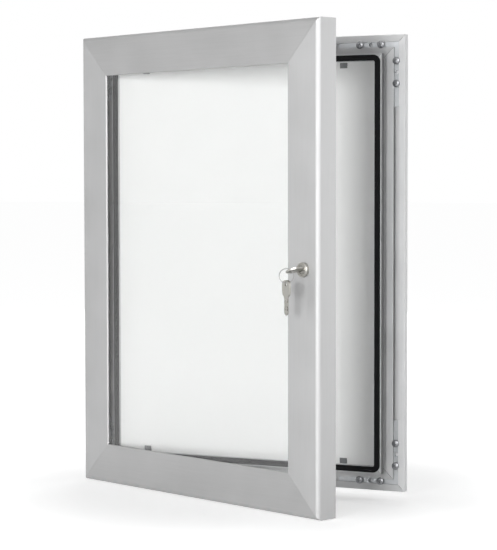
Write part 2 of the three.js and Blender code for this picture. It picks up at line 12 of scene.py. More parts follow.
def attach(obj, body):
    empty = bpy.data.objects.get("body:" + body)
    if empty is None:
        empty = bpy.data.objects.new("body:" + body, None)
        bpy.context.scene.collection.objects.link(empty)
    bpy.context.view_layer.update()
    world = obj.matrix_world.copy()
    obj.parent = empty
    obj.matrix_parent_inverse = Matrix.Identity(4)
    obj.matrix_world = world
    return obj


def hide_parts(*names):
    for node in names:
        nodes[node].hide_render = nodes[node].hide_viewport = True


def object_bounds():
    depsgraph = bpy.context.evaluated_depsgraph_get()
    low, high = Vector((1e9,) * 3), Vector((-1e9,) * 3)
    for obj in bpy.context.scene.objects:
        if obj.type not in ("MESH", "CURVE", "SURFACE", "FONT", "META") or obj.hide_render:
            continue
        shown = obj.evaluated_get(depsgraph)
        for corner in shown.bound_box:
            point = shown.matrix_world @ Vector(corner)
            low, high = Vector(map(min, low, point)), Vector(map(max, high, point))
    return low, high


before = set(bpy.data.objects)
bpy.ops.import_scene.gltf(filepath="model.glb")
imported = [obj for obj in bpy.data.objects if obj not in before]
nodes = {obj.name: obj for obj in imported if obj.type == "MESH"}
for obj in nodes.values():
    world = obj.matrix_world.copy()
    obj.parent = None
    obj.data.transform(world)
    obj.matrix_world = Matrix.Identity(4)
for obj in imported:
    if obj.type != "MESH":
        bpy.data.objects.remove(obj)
cad_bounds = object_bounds()

MM = 0.001

# Overall sizes
DOOR_WIDTH = 377
DOOR_HEIGHT = 500
RAIL_FACE = 44
DOOR_FRONT = 33
DOOR_REAR = 8.3
OPEN_DEGREES = 22
ORIGIN_HEIGHT = 233
MITRE_GAP = 0.08
FIT_GAP = 0.3
KNUCKLE_GAP = 0.4
OVERRUN = 1
WELD_REACH = 0.001
MEND_REACH = 0.01

# Door section
SKIRT_WALL = 1.8
PLATE_REAR = 31
FRONT_ROUNDING = 5
RIM_CHAMFER = 0.8
GLASS_GROOVE_REAR = 28.6
GLASS_LIP_REAR = 27.4
GLASS_WEB_INSET = 28.8
GLASS_STOP = 30
GLASS_LIP_REACH = 7
RIB_FRONT = 27.4
RIB_REAR = 26.2
OUTER_RIB_REACH = 5.7
INNER_RIB_INSET = 22.3
INNER_RIB_WALL = 1.3
INNER_RIB_REACH = 3.8

# Seal
HEAD_FRONT = 25
SEAL_INSET = 28.6
SEAL_WIDTH = 6.2
SEAL_HEIGHT = 1.9
SEAL_ROUNDING = 8
SEAL_BASE_SHARE = 0.45
SEAL_CROWN_POWER = 3
SEAL_DIP = 0.35
SEAL_DIP_SHARE = 0.12
SEAL_STEPS = 18

# Wall frame
FLANGE_INSET = 7
FLANGE_HEIGHT = 8
OUTER_EDGE = 3
SLOT_INSET = 17

# Corner bracket screws
SCREW_NEAR = 27.5
SCREW_FAR = 51.5
SCREW_SHANK = 4
SCREW_LENGTH = 5.3
SCREW_HEAD = 8
SCREW_HEAD_HEIGHT = 2.6

# Shape of every screw, its lengths as shares of the head's or the shank's
SCREW_STEPS = 32
SCREW_POINT_SHARE = 0.7
SCREW_HEAD_CHAMFER = 0.1
SCREW_EDGE_SHARE = 0.35
RECESS_REACH_SHARE = 0.29
RECESS_HALF_SHARE = 0.065
RECESS_DEPTH_SHARE = 0.6
RECESS_FLOOR_SPREAD = 0.55
RECESS_MOUTH_SPREAD = 1.2

# Hinge
HINGE_LENGTH = 360
HINGE_INSET = 3.5
HINGE_HEIGHT = 4.8
KNUCKLE_COUNT = 9
KNUCKLE_RADIUS = 3
KNUCKLE_BORE = 1.75
KNUCKLE_CHAMFER = 0.25
KNUCKLE_STEPS = 32
PIN_RADIUS = 1.4
PIN_CROWN = 0.5
PIN_STEPS = 24
LEAF_THICKNESS = 1.1
TANGENT_STEP = 0.03
TAB_OVERLAP = 0.2
FRAME_LEAF_REACH = 24
FRAME_LEAF_REAR = 8.3
DOOR_LEAF_REACH = 25
DOOR_LEAF_ROOT = 7
DOOR_LEAF_OUTER = 2.1
HINGE_SCREW_COUNT = 4
HINGE_SCREW_SHANK = 3
HINGE_SCREW_HEAD = 5.5
HINGE_SCREW_HEAD_HEIGHT = 1.5
FRAME_SCREW_INSET = 9.3
FRAME_SCREW_DEPTH = 4.5
FRAME_SCREW_SPACING = 100
DOOR_SCREW_HEIGHT = 17
DOOR_SCREW_DEPTH = 1.2
DOOR_SCREW_SPACING = 85

# Lock
LOCK_INSET = 20.5
LOCK_HEAD = 15
LOCK_FRONT = 36.5
LOCK_HEAD_CHAMFER = 0.8
LOCK_HEAD_STEPS = 6
LOCK_FACE_GROOVE = 0.35
LOCK_BORE_CHAMFER = 0.3
HOLE_STEPS = 24
BARREL_DIAMETER = 11
BARREL_REAR = 18.2
PLUG_DIAMETER = 8
PLUG_REAR = 17.7
PLUG_FRONT = 36.2
LOCK_NOTCH_HALF = 10
CAM_REAR = 15.6
CAM_SCREW_SHANK = 1.6
CAM_SCREW_LENGTH = 2.6
CAM_SCREW_HEAD = 5
CAM_SCREW_HEAD_HEIGHT = 1.5
BOSS_SIDE = 3.4
KEY_TURN_DEGREES = 70

# Keys and ring
KEY_THICKNESS = 1.8
BLADE_WIDTH = 6.2
BLADE_LENGTH = 17
BLADE_TIP = 2.6
BITE_DEPTH = 1.5
BITE_PITCH = 2.8
BITE_DEPTH_SHARES = (0.6, 1, 0.4, 0.8)
NECK_LENGTH = 1.2
NECK_WIDTH = 7.6
BOW_LENGTH = 17
BOW_WIDTH = 15
BOW_ROUNDING = 6
KEY_HOLE = 4.6
KEY_HOLE_STEPS = 32
KEY_HOLE_FROM_END = 3.9
KEY_GROOVE_WIDTH = 1.3
KEY_GROOVE_DEPTH = 0.45
KEY_GROOVE_OFFSET = 0.9
RING_WIRE = 0.9
RING_WIRE_STEPS = 10
RING_WIRE_FULLNESS = 0.98
RING_TURNS = 1.84
RING_STEP_FROM = 0.86
RING_RADIUS = 7.2
RING_DROOP_DEGREES = 50
RING_AZIMUTH_DEGREES = 203
SPARE_KEY_DROP = 0.8
SPARE_KEY_SKEW_DEGREES = 30

# Facets and edges
ARC_STEPS = 12
FINE_STEPS = 48
EDGE_WEAR = 0.16
RAIL_EDGE = 0.1
LEAF_EDGE = 0.12
CLIP_EDGE = 0.12
PLUG_EDGE = 0.08
KEY_EDGE = 0.22
EDGE_SEGMENTS = 2
KEY_EDGE_SEGMENTS = 3
EDGED_DEGREES = 32
SHARP_DEGREES = 24

# Noise of the finishes, in cells per metre
METAL_CLOUDS = 22
PLASTIC_CLOUDS = 30
WEAR_PATCHES = 160
DUST_GRAINS = 420
SHEET_CLOUDS = 12
SHEET_WAVES = 7

# Strengths of the finishes
ROUGHNESS_SWING = 0.06
METAL_RELIEF = 0.35
PLASTIC_RELIEF = 0.4
SHEET_RELIEF = 0.03
SHEET_WAVE_DEPTH = 0.2
WEAR_RADIUS = 0.4
WEAR_SAMPLES = 4
WEAR_LEAST = 0.2
WEAR_FROM = 0.8
WEAR_TO = 0.99
MOTTLE_FROM = 0.7
MOTTLE_TO = 1.3
DUST_COVER = 0.5
DUST_FROM = 0.5
DUST_TO = 0.8

# Sizes worked out from the above
HALF_WIDTH = DOOR_WIDTH / 2
HALF_HEIGHT = DOOR_HEIGHT / 2
KEY_HOLE_REACH = NECK_LENGTH + BOW_LENGTH - KEY_HOLE_FROM_END
FRAME_LEAF_FRONT = FRAME_LEAF_REAR + LEAF_THICKNESS
DOOR_LEAF_INNER = DOOR_LEAF_OUTER + LEAF_THICKNESS
KEY_SHOULDER = PLUG_FRONT + FIT_GAP


# Places
def shift(x, y, z):
    return Matrix.Translation(Vector((x, y, z)) * MM)


def turn(degrees, axis):
    return Matrix.Rotation(math.radians(degrees), 4, axis)


FORWARD = turn(90, "X")
ROW = shift(0, 0, -ORIGIN_HEIGHT)
HINGE_POINT = (HINGE_INSET - HALF_WIDTH, -HINGE_HEIGHT, 0)
SWUNG = shift(*HINGE_POINT) @ turn(-OPEN_DEGREES, "Z") @ shift(*HINGE_POINT).inverted()
SIDES = {
    "bottom": (shift(0, 0, -HALF_HEIGHT), HALF_WIDTH),
    "right": (shift(HALF_WIDTH, 0, 0) @ turn(-90, "Y"), HALF_HEIGHT),
    "top": (shift(0, 0, HALF_HEIGHT) @ turn(180, "Y"), HALF_WIDTH),
    "left": (shift(-HALF_WIDTH, 0, 0) @ turn(90, "Y"), HALF_HEIGHT),
}
CORNERS = {
    "bottom_left": shift(-HALF_WIDTH, 0, -HALF_HEIGHT),
    "bottom_right": shift(HALF_WIDTH, 0, -HALF_HEIGHT) @ turn(-90, "Y"),
    "top_right": shift(HALF_WIDTH, 0, HALF_HEIGHT) @ turn(180, "Y"),
    "top_left": shift(-HALF_WIDTH, 0, HALF_HEIGHT) @ turn(90, "Y"),
}


# Meshes
def mesh_of(name, points, faces):
    shape = bpy.data.meshes.new(name)
    shape.from_pydata([[value * MM for value in point] for point in points], [], faces)
    tidy(shape)
    return shape


def tidy(shape):
    """Welds the points that coincide and turns the faces outwards."""
    work = bmesh.new()
    work.from_mesh(shape)
    bmesh.ops.remove_doubles(work, verts=work.verts, dist=WELD_REACH * MM)
    bmesh.ops.recalc_face_normals(work, faces=work.faces)
    work.to_mesh(shape)
    work.free()


def mended(piece):
    """Merges the near points left by cuts and joins, on which a bevel would stop."""
    work = bmesh.new()
    work.from_mesh(piece.data)
    bmesh.ops.remove_doubles(work, verts=work.verts, dist=MEND_REACH * MM)
    bare = [edge for edge in work.edges if not edge.link_faces]
    bmesh.ops.delete(work, geom=bare, context="EDGES")
    work.to_mesh(piece.data)
    work.free()
    return piece


def piece_of(name, shape):
    piece = bpy.data.objects.new(name, shape)
    bpy.context.scene.collection.objects.link(piece)
    return piece


def arc(x, y, radius, from_turn, to_turn, steps=ARC_STEPS):
    span = to_turn - from_turn
    angles = [2 * math.pi * (from_turn + span * i / steps) for i in range(steps + 1)]
    return [(x + radius * math.cos(a), y + radius * math.sin(a)) for a in angles]


def rounded_rectangle(width, height, radius, steps=ARC_STEPS):
    x = width / 2 - radius
    y = height / 2 - radius
    return [
        *arc(x, y, radius, 0, 0.25, steps),
        *arc(-x, y, radius, 0.25, 0.5, steps),
        *arc(-x, -y, radius, 0.5, 0.75, steps),
        *arc(x, -y, radius, 0.75, 1, steps),
    ]


def loops(name, rings, closed):
    """Skins rings of equally many points; open ends are capped."""
    count = len(rings[0])
    faces = []
    for i in range(len(rings) if closed else len(rings) - 1):
        a = i * count
        b = (i + 1) % len(rings) * count
        for j in range(count):
            k = (j + 1) % count
            faces.append((a + j, a + k, b + k, b + j))
    if not closed:
        faces.append(tuple(range(count)))
        faces.append(tuple(range((len(rings) - 1) * count, len(rings) * count)))
    return piece_of(name, mesh_of(name, [point for ring in rings for point in ring], faces))


def prism(name, outline, low, high):
    """A slab with its outline in X and Y, from low to high along Z."""
    return loops(name, [[(x, y, z) for x, y in outline] for z in (low, high)], False)


def bar(name, section, low, high):
    """A bar along X whose section holds (inset, height) points, inset along Z."""
    rings = [[(x, -height, inset) for inset, height in section] for x in (low, high)]
    return loops(name, rings, False)


def mitred_bar(name, section, half_length):
    gap = MITRE_GAP / math.sqrt(2)
    return loops(
        name,
        [
            [(end * (half_length - inset - gap), -height, inset) for inset, height in section]
            for end in (-1, 1)
        ],
        False,
    )


def turned(name, profile, steps=FINE_STEPS):
    """A body turned about Z; the profile holds (radius, height) points and closes on itself."""
    rings = []
    for i in range(steps):
        angle = 2 * math.pi * i / steps
        rings.append([(r * math.cos(angle), r * math.sin(angle), z) for r, z in profile])
    return loops(name, rings, True)


def rod(name, radius, low, high, steps=FINE_STEPS):
    return prism(name, arc(0, 0, radius, 0, 1, steps)[1:], low, high)


def cut(piece, *cutters):
    """Takes the cutters out of a piece and removes them."""
    for cutter in cutters:
        modifier = piece.modifiers.new("cut", "BOOLEAN")
        modifier.operation = "DIFFERENCE"
        modifier.solver = "EXACT"
        modifier.object = cutter
    return applied(piece, cutters)


def joined(piece, *others):
    for other in others:
        modifier = piece.modifiers.new("join", "BOOLEAN")
        modifier.operation = "UNION"
        modifier.solver = "EXACT"
        modifier.object = other
    return applied(piece, others)


def applied(piece, spent=()):
    bpy.context.view_layer.update()
    depsgraph = bpy.context.evaluated_depsgraph_get()
    shape = bpy.data.meshes.new_from_object(piece.evaluated_get(depsgraph))
    piece.modifiers.clear()
    piece.data = shape
    for other in spent:
        bpy.data.objects.remove(other)
    return piece


def shape_alone(piece):
    """Keeps a piece's mesh, to be shared, and removes the piece."""
    shape = piece.data
    bpy.data.objects.remove(piece)
    return shape


def edged(piece, width=EDGE_WEAR, segments=EDGE_SEGMENTS):
    """Breaks the sharp edges a little, as on every real part."""
    bevel = piece.modifiers.new("edges", "BEVEL")
    bevel.width = width * MM
    bevel.segments = segments
    bevel.limit_method = "ANGLE"
    bevel.angle_limit = math.radians(EDGED_DEGREES)
    bevel.harden_normals = True
    return piece


def put(piece, place, body, finish, slot, *stands_for):
    """Places a piece, gives it its finish and lets it ride on its body."""
    shape = piece.data
    shape.shade_smooth()
    shape.set_sharp_from_angle(angle=math.radians(SHARP_DEGREES))
    shape.materials.clear()
    shape.materials.append(finish)
    piece.matrix_world = ROW @ place
    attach(piece, body)
    if stands_for:
        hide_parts(*stands_for)


# Finishes
def node(tree, kind, inputs=None, **settings):
    made = tree.nodes.new(kind)
    for key, value in settings.items():
        setattr(made, key, value)
    for key, value in (inputs or {}).items():
        if isinstance(value, bpy.types.NodeSocket):
            tree.links.new(value, made.inputs[key])
        else:
            made.inputs[key].default_value = value
    return made


def principled(name, **sockets):
    finish = bpy.data.materials.new(name)
    finish.use_nodes = True
    shader = finish.node_tree.nodes["Principled BSDF"]
    for key, value in sockets.items():
        shader.inputs[key.replace("_", " ")].default_value = value
    return finish, finish.node_tree, shader


def spots(tree, scale, detail=3.0, stretch=(1, 1, 1), roughness=0.5, swing=0):
    """Noise in the piece's own coordinates, turned back by swing degrees, in cells per metre."""
    where = node(tree, "ShaderNodeTexCoord").outputs["Object"]
    if swing:
        where = node(
            tree,
            "ShaderNodeVectorRotate",
            {"Vector": where, "Angle": math.radians(swing)},
            rotation_type="Z_AXIS",
        ).outputs["Vector"]
    stretched = node(tree, "ShaderNodeMapping", {"Vector": where, "Scale": stretch})
    noise = node(
        tree,
        "ShaderNodeTexNoise",
        {
            "Vector": stretched.outputs["Vector"],
            "Scale": scale,
            "Detail": detail,
            "Roughness": roughness,
        },
    )
    return noise.outputs["Fac"]


def spread(tree, value, low, high, from_low=0.3, from_high=0.7):
    return node(
        tree,
        "ShaderNodeMapRange",
        {
            "Value": value,
            "From Min": from_low,
            "From Max": from_high,
            "To Min": low,
            "To Max": high,
        },
    ).outputs["Result"]


def combined(tree, first, second, operation):
    """Two values put together by one maths node."""
    made = node(tree, "ShaderNodeMath", {0: first, 1: second}, operation=operation)
    return made.outputs["Value"]


def blended(tree, share, first, second):
    mix = node(tree, "ShaderNodeMix", data_type="RGBA")
    for index, value in ((0, share), (6, first), (7, second)):
        if isinstance(value, bpy.types.NodeSocket):
            tree.links.new(value, mix.inputs[index])
        else:
            mix.inputs[index].default_value = value
    return mix.outputs[2]


def tone(color, factor):
    return (*(min(channel * factor, 1) for channel in color), 1)


def worn_edges(tree, radius):
    """How much a point lies on a broken edge, from 0 to 1, in patches."""
    soft = node(tree, "ShaderNodeBevel", {"Radius": radius * MM}, samples=WEAR_SAMPLES)
    true = node(tree, "ShaderNodeNewGeometry")
    along = node(
        tree,
        "ShaderNodeVectorMath",
        {0: soft.outputs["Normal"], 1: true.outputs["Normal"]},
        operation="DOT_PRODUCT",
    )
    edge = spread(tree, along.outputs["Value"], 1, 0, WEAR_FROM, WEAR_TO)
    patches = spread(tree, spots(tree, WEAR_PATCHES), WEAR_LEAST, 1)
    return combined(tree, edge, patches, "MULTIPLY")


def relief(tree, shader, height, strength, depth):
    """Fine relief in the surface, with its depth in millimetres."""
    bump = node(
        tree, "ShaderNodeBump", {"Height": height, "Strength": strength, "Distance": depth * MM}
    )
    tree.links.new(bump.outputs["Normal"], shader.inputs["Normal"])


def painted_channel_shade(tree):
    """Painted shade: 1 on the sideways-looking faces inside the wall frame's channels, where shade
    falls, and 0 elsewhere.
    """
    surface = node(tree, "ShaderNodeTexCoord")
    facing = node(tree, "ShaderNodeSeparateXYZ", {"Vector": surface.outputs["Normal"]})
    place = node(tree, "ShaderNodeSeparateXYZ", {"Vector": surface.outputs["Object"]})
    forward = node(tree, "ShaderNodeMath", {0: facing.outputs["Y"]}, operation="ABSOLUTE")
    share = spread(tree, forward.outputs["Value"], 1, 0)
    for axis, middle, half in (("X", 0, HALF_WIDTH), ("Z", -ORIGIN_HEIGHT, HALF_HEIGHT)):
        reach = (half - FLANGE_INSET - OUTER_EDGE) * MM
        inside = node(
            tree,
            "ShaderNodeMath",
            {0: place.outputs[axis], 1: middle * MM, 2: reach},
            operation="COMPARE",
        )
        share = combined(tree, share, inside.outputs["Value"], "MULTIPLY")
    return share


def metal(
    name,
    color,
    roughness,
    grain,
    grain_scale=900,
    grain_depth=0.012,
    uneven=0.05,
    metallic=0.9,
    gloss=0.5,
    swing=0,
    worn=0.18,
    wall_shade_tone=None,
):
    """Metal with a drawn or plated surface: grain, soft clouds, and brighter worn edges.

    The last argument is the tone of the painted shade on the sideways faces inside the wall frame's
    channels.
    """
    finish, tree, shader = principled(name, Metallic=metallic, Specular_IOR_Level=gloss)
    lines = spots(tree, grain_scale, 4.0, grain, 0.6, swing)
    clouds = spots(tree, METAL_CLOUDS, 2.0)
    mottle = combined(tree, lines, clouds, "ADD")
    share = spread(tree, mottle, 0, 1, MOTTLE_FROM, MOTTLE_TO)
    body = blended(tree, share, tone(color, 1 - uneven), tone(color, 1 + uneven))
    body = blended(tree, worn_edges(tree, WEAR_RADIUS), body, tone(color, 1 + worn))
    # Painted shade: the sideways faces inside the wall frame's channels are darkened where the
    # frame lies in shade.
    if wall_shade_tone:
        body = blended(tree, painted_channel_shade(tree), body, tone(color, wall_shade_tone))
    tree.links.new(body, shader.inputs["Base Color"])
    low = roughness - ROUGHNESS_SWING
    high = roughness + ROUGHNESS_SWING
    uneven_roughness = spread(tree, mottle, low, high, MOTTLE_FROM, MOTTLE_TO)
    tree.links.new(uneven_roughness, shader.inputs["Roughness"])
    relief(tree, shader, lines, METAL_RELIEF, grain_depth)
    return finish


def plastic(name, color, roughness, scale, depth, uneven=0.03, dust=None, gloss=0.5):
    """Moulded or extruded plastic and rubber: fine texture, faint clouds and, where given, dust."""
    finish, tree, shader = principled(name, Metallic=0.0, Specular_IOR_Level=gloss)
    fine = spots(tree, scale, 5.0)
    share = spread(tree, spots(tree, PLASTIC_CLOUDS, 3.0), 0, 1)
    body = blended(tree, share, tone(color, 1 - uneven), tone(color, 1 + uneven))
    if dust:
        grains = spots(tree, DUST_GRAINS, 6.0)
        cover = spread(tree, grains, 0, DUST_COVER, DUST_FROM, DUST_TO)
        body = blended(tree, cover, body, tone(dust, 1))
    tree.links.new(body, shader.inputs["Base Color"])
    low = roughness - ROUGHNESS_SWING
    high = roughness + ROUGHNESS_SWING
    tree.links.new(spread(tree, fine, low, high), shader.inputs["Roughness"])
    relief(tree, shader, fine, PLASTIC_RELIEF, depth)
    return finish


SHEET_TINT = (0.98, 0.985, 0.982, 1)
SHEET_CLEAR = (0.99, 0.992, 0.99, 1)
SHEET_SHADE = (0.97, 0.972, 0.97, 1)


def clear_sheet(name):
    """Polished acrylic, faintly wavy, that lets lamps and soft light through."""
    finish, tree, shader = principled(name, Transmission_Weight=1.0, IOR=1.49, Roughness=0.0)
    share = spread(tree, spots(tree, SHEET_CLOUDS, 2.0), 0, 1)
    tint = blended(tree, share, SHEET_TINT, SHEET_CLEAR)
    tree.links.new(tint, shader.inputs["Base Color"])
    relief(tree, shader, spots(tree, SHEET_WAVES, 1.0), SHEET_RELIEF, SHEET_WAVE_DEPTH)
    path = node(tree, "ShaderNodeLightPath")
    through = node(tree, "ShaderNodeBsdfTransparent", {"Color": SHEET_SHADE})
    shown = shader.outputs["BSDF"]
    for ray in ("Is Shadow Ray", "Is Diffuse Ray"):
        shown = node(
            tree,
            "ShaderNodeMixShader",
            {0: path.outputs[ray], 1: shown, 2: through.outputs["BSDF"]},
        ).outputs["Shader"]
    tree.links.new(shown, tree.nodes["Material Output"].inputs["Surface"])
    return finish


# The door's stiles and rails, and the wall frame's uprights and level rails, are lighter and darker
# copies of one anodised aluminium: painted light and shade for how the lamps fall on each.
STILE_ALUMINIUM_LIT = (0.455, 0.456, 0.458)
RAIL_ALUMINIUM_SHADED = (0.422, 0.422, 0.423)
LEVEL_ALUMINIUM_SHADED = (0.69, 0.695, 0.7)
UPRIGHT_ALUMINIUM_LIT = (0.8, 0.805, 0.81)
# Tone of the painted shade on the sideways faces inside the wall frame's channels.
CHANNEL_SHADE_TONE = 0.3
ZINC = (0.52, 0.535, 0.55)
SCREW_STEEL = (0.27, 0.275, 0.285)
STEEL = (0.5, 0.49, 0.48)
DARK_STEEL = (0.3, 0.297, 0.292)
NICKEL = (0.38, 0.372, 0.345)
PANEL_WHITE = (0.92, 0.925, 0.92)
RUBBER_BLACK = (0.007, 0.0072, 0.008)
RUBBER_DUST = (0.015, 0.015, 0.015)
CLIP_GREY = (0.16, 0.165, 0.17)
ALONG_X = (0.02, 1, 1)
ALONG_Z = (1, 1, 0.02)
EVEN = (1, 1, 1)

DOOR_FINISH = {"metallic": 0.55, "worn": 0.05}
FRAME_FINISH = {"metallic": 0.17, "gloss": 0.12, "wall_shade_tone": CHANNEL_SHADE_TONE}
# Painted shade: the door's rails are a darker copy of the stiles' aluminium.
stile_metal_lit = metal("anodised_stile_lit", STILE_ALUMINIUM_LIT, 0.58, ALONG_Z, **DOOR_FINISH)
rail_metal_shaded = metal(
    "anodised_rail_shaded", RAIL_ALUMINIUM_SHADED, 0.45, ALONG_X, swing=OPEN_DEGREES, **DOOR_FINISH
)
# Painted light and shade: the wall frame's level rails are a darker copy, and its uprights a
# lighter copy, of one anodised aluminium.
frame_level_shaded = metal("anodised_frame_shaded", LEVEL_ALUMINIUM_SHADED, 0.5, ALONG_X, **FRAME_FINISH)
frame_upright_lit = metal("anodised_upright_lit", UPRIGHT_ALUMINIUM_LIT, 0.5, ALONG_Z, **FRAME_FINISH)
zinc = metal(
    "zinc_plated", ZINC, 0.38, EVEN, grain_scale=700, grain_depth=0.008, uneven=0.06, metallic=0.6
)
screw_metal = metal(
    "screw_plated",
    SCREW_STEEL,
    0.42,
    EVEN,
    grain_scale=700,
    grain_depth=0.008,
    uneven=0.1,
    metallic=0.7,
)
steel_rolled = metal(
    "steel_rolled", STEEL, 0.36, ALONG_X, grain_scale=800, grain_depth=0.008, uneven=0.07
)
steel_plain = metal("steel_plain", DARK_STEEL, 0.32, EVEN, grain_depth=0.006, uneven=0.08)
nickel = metal(
    "nickel_handled", NICKEL, 0.3, EVEN, grain_scale=500, grain_depth=0.008, uneven=0.1
)
panel_sheet = plastic("panel_white", PANEL_WHITE, 0.55, scale=1400, depth=0.01, uneven=0.006)
rubber = plastic(
    "seal_rubber",
    RUBBER_BLACK,
    0.7,
    scale=1600,
    depth=0.03,
    uneven=0.2,
    dust=RUBBER_DUST,
    gloss=0.1,
)
clip_plastic = plastic("clip_moulded", CLIP_GREY, 0.45, scale=1200, depth=0.02, uneven=0.08)
acrylic = clear_sheet("glazing_acrylic")


# Solids that keep their shape, with broken edges and a finish
def dress(name, finish, width=EDGE_WEAR):
    piece = nodes[name]
    for slot in piece.material_slots:
        slot.material = finish
    if width:
        edged(piece, width)


dress("back_panel", panel_sheet, 0)
dress("glazing", acrylic, 0)
dress("lock_cam", steel_plain)
dress("lock_nut", zinc)
for side in SIDES:
    dress("frame_rail_" + side, frame_level_shaded if side in ("top", "bottom") else frame_upright_lit)
for corner in CORNERS:
    dress("frame_bracket_" + corner, zinc)
    dress("door_cleat_" + corner, zinc)
    dress("poster_clip_" + corner, clip_plastic, CLIP_EDGE)


# Door rails
def door_section():
    inner_rib_end = INNER_RIB_INSET + INNER_RIB_WALL
    return [
        (0, DOOR_REAR),
        *arc(FRONT_ROUNDING, DOOR_FRONT - FRONT_ROUNDING, FRONT_ROUNDING, 0.5, 0.25),
        (RAIL_FACE - RIM_CHAMFER, DOOR_FRONT),
        (RAIL_FACE, DOOR_FRONT - RIM_CHAMFER),
        (RAIL_FACE, PLATE_REAR),
        (GLASS_STOP, PLATE_REAR),
        (GLASS_STOP, GLASS_GROOVE_REAR),
        (GLASS_STOP + GLASS_LIP_REACH, GLASS_GROOVE_REAR),
        (GLASS_STOP + GLASS_LIP_REACH, GLASS_LIP_REAR),
        (GLASS_WEB_INSET, GLASS_LIP_REAR),
        (GLASS_WEB_INSET, PLATE_REAR),
        (inner_rib_end, PLATE_REAR),
        (inner_rib_end, RIB_REAR),
        (INNER_RIB_INSET - INNER_RIB_REACH, RIB_REAR),
        (INNER_RIB_INSET - INNER_RIB_REACH, RIB_FRONT),
        (INNER_RIB_INSET, RIB_FRONT),
        (INNER_RIB_INSET, PLATE_REAR),
        (SKIRT_WALL, PLATE_REAR),
        (SKIRT_WALL, RIB_FRONT),
        (SKIRT_WALL + OUTER_RIB_REACH, RIB_FRONT),
        (SKIRT_WALL + OUTER_RIB_REACH, RIB_REAR),
        (SKIRT_WALL, RIB_REAR),
        (SKIRT_WALL, DOOR_REAR),
    ]


def forward_rod(name, radius, low, high, along, inset):
    hole = rod(name, radius, low, high)
    hole.data.transform(shift(along, 0, inset) @ FORWARD)
    return hole


def screw_places(spacing):
    middle = (HINGE_SCREW_COUNT - 1) / 2
    return [(i - middle) * spacing for i in range(HINGE_SCREW_COUNT)]


def lock_stile_cutters():
    low = INNER_RIB_INSET - INNER_RIB_REACH - OVERRUN
    high = INNER_RIB_INSET + INNER_RIB_WALL + OVERRUN
    rear = RIB_REAR - OVERRUN
    notch = [(low, rear), (high, rear), (high, PLATE_REAR), (low, PLATE_REAR)]
    radius = BARREL_DIAMETER / 2 + FIT_GAP
    return [
        forward_rod("hole", radius, PLATE_REAR - OVERRUN, DOOR_FRONT + OVERRUN, 0, LOCK_INSET),
        bar("notch", notch, -LOCK_NOTCH_HALF, LOCK_NOTCH_HALF),
    ]


def door_screw_cutters():
    radius = HINGE_SCREW_SHANK / 2 + FIT_GAP
    low = SKIRT_WALL - DOOR_SCREW_DEPTH - FIT_GAP
    holes = []
    for along in screw_places(DOOR_SCREW_SPACING):
        hole = rod("hole", radius, low, DOOR_LEAF_INNER + OVERRUN)
        hole.data.transform(shift(along, -DOOR_SCREW_HEIGHT, 0))
        holes.append(hole)
    return holes


RAIL_NODES = {
    "bottom": "door_rail_bottom",
    "right": "lock_stile",
    "top": "door_rail_top",
    "left": "hinge_stile",
}
for side, (place, half) in SIDES.items():
    rail = mitred_bar("drawn_" + RAIL_NODES[side], door_section(), half)
    if side == "right":
        cut(rail, *lock_stile_cutters())
    if side == "left":
        cut(rail, *door_screw_cutters())
    edged(rail, RAIL_EDGE)
    rail.data.transform(SWUNG @ place)
    finish = rail_metal_shaded if side in ("top", "bottom") else stile_metal_lit
    put(rail, Matrix.Identity(4), "door", finish, "anodised", RAIL_NODES[side])


# Door seal: a base strip with a soft crown and a shallow dip, following a rounded rectangle
def seal_section():
    base = SEAL_HEIGHT * SEAL_BASE_SHARE
    points = [(0, 0), (0, base)]
    for i in range(1, SEAL_STEPS):
        share = i / SEAL_STEPS
        crown = (1 - abs(2 * share - 1) ** SEAL_CROWN_POWER) ** (1 / SEAL_CROWN_POWER)
        dip = SEAL_DIP * math.exp(-(((share - 0.5) / SEAL_DIP_SHARE) ** 2))
        points.append((share * SEAL_WIDTH, base + (SEAL_HEIGHT - base) * crown - dip))
    return [*points, (SEAL_WIDTH, base), (SEAL_WIDTH, 0)]


def seal_loop():
    width = DOOR_WIDTH - 2 * SEAL_INSET
    height = DOOR_HEIGHT - 2 * SEAL_INSET
    lines = [
        rounded_rectangle(width - 2 * inset, height - 2 * inset, SEAL_ROUNDING - inset)
        for inset, _ in seal_section()
    ]
    rings = []
    for around in range(len(lines[0])):
        ring = []
        for line, (_, rise) in zip(lines, seal_section()):
            across, up = line[around]
            ring.append((across, -HEAD_FRONT - rise, up))
        rings.append(ring)
    return loops("crowned_seal", rings, True)


put(seal_loop(), Matrix(), "back_unit", rubber, "seal", "door_seal")


# Screws: a crowned head with a cross recess
def screw(name, shank, length, head, head_height):
    edge = head_height * SCREW_EDGE_SHARE
    crown = [
        (head / 2 * math.cos(a), edge + (head_height - edge) * math.sin(a))
        for a in [math.pi / 2 * i / ARC_STEPS for i in range(1, ARC_STEPS)]
    ]
    profile = [
        (0, -length),
        (shank / 2 * SCREW_POINT_SHARE, -length),
        (shank / 2, -length + shank / 4),
        (shank / 2, 0),
        (head / 2 - SCREW_HEAD_CHAMFER, 0),
        (head / 2, SCREW_HEAD_CHAMFER),
        (head / 2, edge),
        *crown,
        (0, head_height),
    ]
    body = turned(name, profile, SCREW_STEPS)
    arm = head * RECESS_REACH_SHARE
    half = head * RECESS_HALF_SHARE
    floor = head_height - head_height * RECESS_DEPTH_SHARE
    mouth = head_height + OVERRUN
    cross = []
    for quarter in range(4):
        c = round(math.cos(quarter * math.pi / 2))
        s = round(math.sin(quarter * math.pi / 2))
        for x, y in ((arm, -half), (arm, half), (half, half)):
            cross.append((x * c - y * s, x * s + y * c))
    rings = []
    for z, share in ((floor, RECESS_FLOOR_SPREAD), (mouth, RECESS_MOUTH_SPREAD)):
        rings.append([(x * share, y * share, z) for x, y in cross])
    return shape_alone(cut(body, loops("recess", rings, False)))


